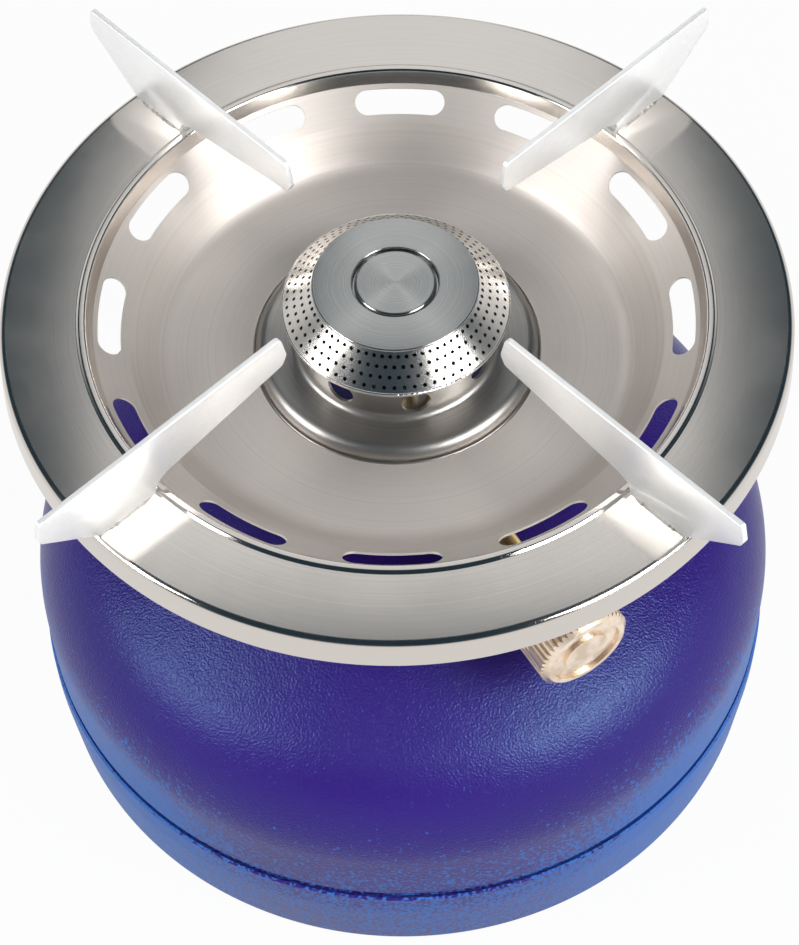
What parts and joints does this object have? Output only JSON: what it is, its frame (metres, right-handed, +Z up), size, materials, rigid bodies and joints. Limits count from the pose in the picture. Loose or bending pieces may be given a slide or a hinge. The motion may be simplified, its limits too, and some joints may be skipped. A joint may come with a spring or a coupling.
{
  "type": "camping gas stove",
  "caption": "Single-burner camping gas stove with a steel pan and upright pan supports, screwed onto a squat refillable gas cylinder, with a side knob.",
  "frame": {"origin": "centre of the foot ring on the ground, under the burner's axis", "axes": "+Z up along the burner's axis, -Y the front, the knob's stem points to the front right"},
  "size_m": [0.2064, 0.2064, 0.1792],
  "materials": {
    "cylinder_paint": "glossy violet-blue enamel with fine orange peel",
    "foot_paint": "glossy violet-blue enamel, scuffed at the foot",
    "boss_brass": "machined",
    "rubber": "moulded nitrile rubber",
    "ball_steel": "ground bearing ball",
    "spring_steel": "wound wire",
    "valve_brass": "machined",
    "knob_nickel": "warm nickel-plated brass, satin",
    "filter_bronze": "sintered",
    "tube_steel": "turned",
    "bell_steel": "polished stainless pressing",
    "burner_steel": "turned stainless",
    "ring_steel": "perforated stainless",
    "cap_steel": "turned stainless with lathe marks",
    "pan_stainless": "polished stainless, spun",
    "support_steel": "satin sheet stainless",
    "weld_steel": "as-welded bead"
  },
  "bodies": {
    "cylinder": {"upper_shell": "cylinder_paint", "lower_shell": "cylinder_paint", "foot_ring": "foot_paint", "neck_boss": "boss_brass", "valve_seat": "rubber", "valve_cage": "boss_brass", "valve_spring": "spring_steel"},
    "ball": {"valve_ball": "ball_steel"},
    "seal": {"inlet_seal": "rubber"},
    "stove": {"valve_body": "valve_brass", "push_pin": "valve_brass", "packing_ring": "rubber", "gland_nut": "valve_brass", "jet": "valve_brass", "jet_filter": "filter_bronze", "mixing_tube": "tube_steel", "air_bell": "bell_steel", "burner_base": "burner_steel", "burner_ring": "ring_steel", "burner_cap": "cap_steel", "cap_screw": "cap_steel", "pan": "pan_stainless", "support_1": "support_steel", "support_2": "support_steel", "support_3": "support_steel", "support_4": "support_steel", "support_welds": "weld_steel"},
    "knob": {"knob": "knob_nickel", "stem": "valve_brass"},
    "needle": {"needle": "valve_brass"}
  },
  "joints": [
    {"name": "stove_rise", "type": "slide", "parent": "cylinder", "child": "seal", "axis": [0, 0, 1], "range_m": [0, 0.0076]},
    {"name": "stove_turn", "type": "hinge", "parent": "seal", "child": "stove", "pos_m": [0, 0, 0.10347], "axis": [0, 0, 1], "range_deg": [0, 1800]},
    {"name": "knob_turn", "type": "hinge", "parent": "stove", "child": "knob", "pos_m": [0, 0, 0.11297], "axis": [0.5373, -0.8434, 0], "range_deg": [0, 540]},
    {"name": "needle_travel", "type": "slide", "parent": "knob", "child": "needle", "axis": [0.5373, -0.8434, 0], "range_m": [0, 0.00151]},
    {"name": "ball_push", "type": "slide", "parent": "cylinder", "child": "ball", "axis": [0, 0, 1], "range_m": [-0.0012, 0], "stiffness_N_per_m": 200, "springref_m": 0.003, "deforming": ["valve_spring"]}
  ],
  "couplings": [
    {"joint": "stove_rise", "follows": "stove_turn", "m_per_rad": 0.00023873},
    {"joint": "needle_travel", "follows": "knob_turn", "m_per_rad": 0.00015915}
  ]
}
